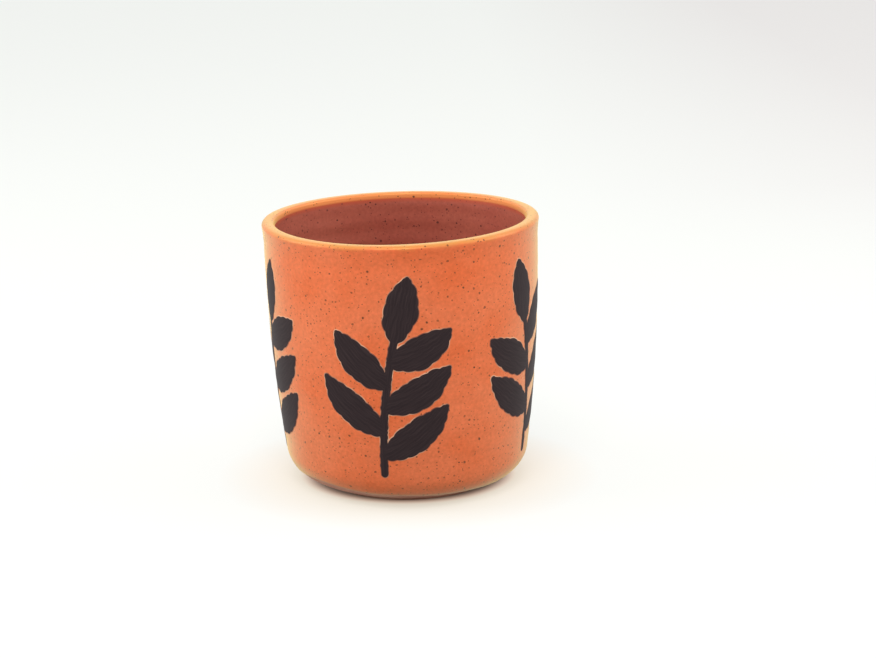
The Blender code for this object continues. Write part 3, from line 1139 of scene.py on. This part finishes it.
def thicken(form, brush):
    """Makes a flat film a closed one that thins out towards its edge."""
    edge = form.verts.layers.float[STROKE_NOTES[0]]
    under = form.verts[:]
    made = bmesh.ops.extrude_face_region(form, geom=form.faces[:], use_keep_orig=True)
    for vert in made["geom"]:
        if isinstance(vert, bmesh.types.BMVert):
            full = 1.0 - math.exp(-max(vert[edge], 0.0) / brush.film_edge)
            vert.co.z = brush.film * (EDGE_SHARE + (1.0 - EDGE_SHARE) * full)
    for vert in under:
        vert.co.z = -SINK_SHARE * brush.film
    bmesh.ops.recalc_face_normals(form, faces=form.faces)


def paint_film(dabs, brush, outline, turn):
    """A closed film of paint over the union of the dabs, laid round the wall."""
    form = trimmed_grid(dabs)
    note_strokes(form, dabs)
    thicken(form, brush)
    for vert in form.verts:
        along, height, lift = vert.co
        radius = outline.wall_at(height) + lift
        at = turn + along / outline.form.belly_radius
        vert.co = (radius * math.cos(at), radius * math.sin(at), height)
    return form


class TUMBLER_OT_stage(bpy.types.Operator):
    """Set up the paper floor, the light and the camera"""

    bl_idname = "tumbler.stage"
    bl_label = "Stage"

    def execute(self, context):
        stage = context.scene.tumbler.stage
        form = context.scene.tumbler.form
        _, ring, _, _ = Outline(form).foot_radii()
        paper_floor(stage, ring)
        light_tent(context.scene, stage)
        middle = Vector((0.0, 0.0, form.height / 2))
        for name, setting, size, place in SOFTBOXES:
            softbox(name, getattr(stage, setting), size, Vector(place), middle)
        aim_camera(context.scene, stage, middle)
        context.scene.view_settings.view_transform = "Standard"
        return {"FINISHED"}


def paper_floor(stage, ring):
    """A wide round of white paper, cut out inside the foot ring so that a view from below is lit too."""
    form = bmesh.new()
    opening = ring - PAPER_INSET
    bmesh.ops.create_circle(form, segments=SEGMENTS, radius=opening)
    made = bmesh.ops.extrude_edge_only(form, edges=form.edges[:])
    rim = [item for item in made["geom"] if isinstance(item, bmesh.types.BMVert)]
    wider = PAPER_RADIUS / opening
    bmesh.ops.scale(form, verts=rim, vec=(wider, wider, 1.0))
    bmesh.ops.translate(form, verts=form.verts, vec=(0.0, 0.0, -PAPER_DROP))
    form.normal_update()
    bmesh.ops.reverse_faces(form, faces=[face for face in form.faces if face.normal.z < 0.0])
    mesh = bpy.data.meshes.new("paper_floor")
    form.to_mesh(mesh)
    form.free()
    mesh.materials.append(white_paper(stage, ring))
    paper = bpy.data.objects.new("paper_floor", mesh)
    bpy.context.scene.collection.objects.link(paper)


def white_paper(stage, ring):
    """Matt white paper that keeps the cup's shadow, and is clear when seen from below. For the eye it also
    glows: up to white round the cup, with painted warm bounce light beside the foot and a painted brown
    shadow under the heel, where it hardly glows."""
    material, tree, shader = new_material("Matt white paper")
    shader.inputs["Base Color"].default_value = opaque(stage.floor)
    shader.inputs["Roughness"].default_value = 0.9
    shader.inputs["Specular IOR Level"].default_value = 0.1
    where = add(tree, "ShaderNodeTexCoord").outputs["Object"]
    squeezed = add(
        tree,
        "ShaderNodeVectorMath",
        {0: where, 1: (SIDE_REACH, 1.0, 1.0)},
        operation="MULTIPLY",
    )
    reach = add(
        tree,
        "ShaderNodeVectorMath",
        {0: squeezed.outputs[0]},
        operation="LENGTH",
    ).outputs["Value"]
    out = add(tree, "ShaderNodeMapRange", {"Value": reach, 1: ring, 2: ring + WARM_REACH})
    painted_shadow_and_bounce = add(tree, "ShaderNodeValToRGB", {"Fac": out.outputs[0]})
    stops = painted_shadow_and_bounce.color_ramp.elements
    stops[0].color = opaque(stage.contact_glow)
    stops[1].color = opaque(stage.near_glow)
    stops.new(WARM_STOP).color = opaque(stage.foot_glow)
    place = add(tree, "ShaderNodeSeparateXYZ", {0: where})
    aside = add(tree, "ShaderNodeMapRange", {"Value": place.outputs["X"], 1: DIM_ASIDE[0], 2: DIM_ASIDE[1]})
    away = add(tree, "ShaderNodeMapRange", {"Value": place.outputs["Y"], 1: DIM_AWAY[0], 2: DIM_AWAY[1]})
    corner = add(
        tree,
        "ShaderNodeMath",
        {0: aside.outputs[0], 1: away.outputs[0]},
        operation="MULTIPLY",
    )
    tint = add(
        tree,
        "ShaderNodeMix",
        {0: corner.outputs[0], 6: painted_shadow_and_bounce.outputs["Color"], 7: opaque(stage.far_glow)},
        data_type="RGBA",
    )
    glow_outside_painted_shadow = add(
        tree,
        "ShaderNodeMapRange",
        {"Value": reach, 1: ring - SHADE_INSIDE, 2: ring + SHADE_OUTSIDE, 3: SHADE_GLOW, 4: 1.0},
        interpolation_type="SMOOTHSTEP",
    )
    glow = add(
        tree,
        "ShaderNodeEmission",
        {"Color": tint.outputs[2], "Strength": glow_outside_painted_shadow.outputs[0]},
    )
    lifted = add(tree, "ShaderNodeAddShader", {0: shader.outputs[0], 1: glow.outputs[0]})
    path = add(tree, "ShaderNodeLightPath")
    seen = add(
        tree,
        "ShaderNodeMath",
        {0: path.outputs["Is Camera Ray"], 1: path.outputs["Is Glossy Ray"]},
        operation="MAXIMUM",
    )
    shown = add(
        tree,
        "ShaderNodeMixShader",
        {0: seen.outputs[0], 1: shader.outputs[0], 2: lifted.outputs[0]},
    )
    clear = add(tree, "ShaderNodeBsdfTransparent")
    behind = add(tree, "ShaderNodeNewGeometry").outputs["Backfacing"]
    one_sided = add(
        tree,
        "ShaderNodeMixShader",
        {0: behind, 1: shown.outputs[0], 2: clear.outputs[0]},
    )
    tree.links.new(one_sided.outputs[0], tree.nodes["Material Output"].inputs["Surface"])
    return material


def light_tent(scene, stage):
    """A white tent: full white to the eye, and dimmer towards the front, where the camera looks in."""
    world = bpy.data.worlds.new("Light tent")
    scene.world = world
    world.use_nodes = True
    tree = world.node_tree
    towards = add(tree, "ShaderNodeTexCoord").outputs["Generated"]
    depth = add(tree, "ShaderNodeSeparateXYZ", {0: towards}).outputs["Y"]
    wall = add(
        tree,
        "ShaderNodeMapRange",
        {"Value": depth, 1: TENT_FRONT, 2: TENT_BACK, 3: stage.tent_front, 4: stage.tent_back},
    )
    seen = add(tree, "ShaderNodeLightPath").outputs["Is Camera Ray"]
    strength = add(tree, "ShaderNodeMix", {0: seen, 2: wall.outputs[0], 3: 1.0}, data_type="FLOAT")
    tent = tree.nodes["Background"]
    tent.inputs["Color"].default_value = (1.0, 1.0, 1.0, 1.0)
    tree.links.new(strength.outputs[0], tent.inputs["Strength"])


def softbox(name, power, size, place, target):
    """A square soft light that faces a point."""
    lamp = bpy.data.lights.new(name, "AREA")
    lamp.energy = power
    lamp.shape = "SQUARE"
    lamp.size = size
    held = bpy.data.objects.new(name, lamp)
    held.location = place
    held.rotation_euler = (target - place).to_track_quat("-Z", "Y").to_euler()
    bpy.context.scene.collection.objects.link(held)


def aim_camera(scene, stage, target):
    """The camera at the photograph's angle, turned so that the cup lies where the picture has it."""
    lens = bpy.data.cameras.new("camera")
    lens.sensor_width = SENSOR
    lens.lens = stage.focal * SENSOR / PICTURE_WIDTH
    lens.clip_start = CLIP_START
    camera = bpy.data.objects.new("camera", lens)
    back = Vector((0.0, -math.cos(stage.elevation), math.sin(stage.elevation)))
    camera.location = target + back * stage.distance
    turned = (-back).to_track_quat("-Z", "Y")
    for axis, by in (
        ((0.0, 1.0, 0.0), math.atan2(stage.aside, stage.focal)),
        ((1.0, 0.0, 0.0), math.atan2(stage.below, stage.focal)),
        ((0.0, 0.0, 1.0), stage.roll),
    ):
        turned = turned @ Quaternion(axis, by)
    camera.rotation_euler = turned.to_euler()
    scene.collection.objects.link(camera)
    scene.camera = camera


class TUMBLER_PT_sidebar(bpy.types.Panel):
    """The tumbler's settings and steps"""

    bl_label = "Thrown tumbler"
    bl_idname = "TUMBLER_PT_sidebar"
    bl_space_type = "VIEW_3D"
    bl_region_type = "UI"
    bl_category = "Tumbler"

    def draw(self, context):
        settings = context.scene.tumbler
        for operator in OPERATORS:
            self.layout.operator(operator.bl_idname)
        for group in ("form", "brush", "finish", "stage"):
            box = self.layout.box()
            box.label(text=group.title())
            values = getattr(settings, group)
            for name in values.bl_rna.properties.keys():
                if name not in ("rna_type", "name"):
                    box.prop(values, name)


OPERATORS = (
    TUMBLER_OT_clay_body,
    TUMBLER_OT_outer_glaze,
    TUMBLER_OT_lining_glaze,
    TUMBLER_OT_leaf_sprigs,
    TUMBLER_OT_stage,
)
CLASSES = (ThrownForm, BrushForm, Finish, Stage, TumblerSettings, *OPERATORS, TUMBLER_PT_sidebar)


def register():
    """Registers the settings, operators and panel."""
    for item in CLASSES:
        bpy.utils.register_class(item)
    bpy.types.Scene.tumbler = PointerProperty(type=TumblerSettings)


def unregister():
    """Takes the settings, operators and panel away again."""
    del bpy.types.Scene.tumbler
    for item in reversed(CLASSES):
        bpy.utils.unregister_class(item)


def main():
    """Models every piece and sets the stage."""
    register()
    bpy.ops.tumbler.clay_body()
    bpy.ops.tumbler.outer_glaze()
    bpy.ops.tumbler.lining_glaze()
    bpy.ops.tumbler.leaf_sprigs()
    bpy.ops.tumbler.stage()


if __name__ == "__main__":
    main()
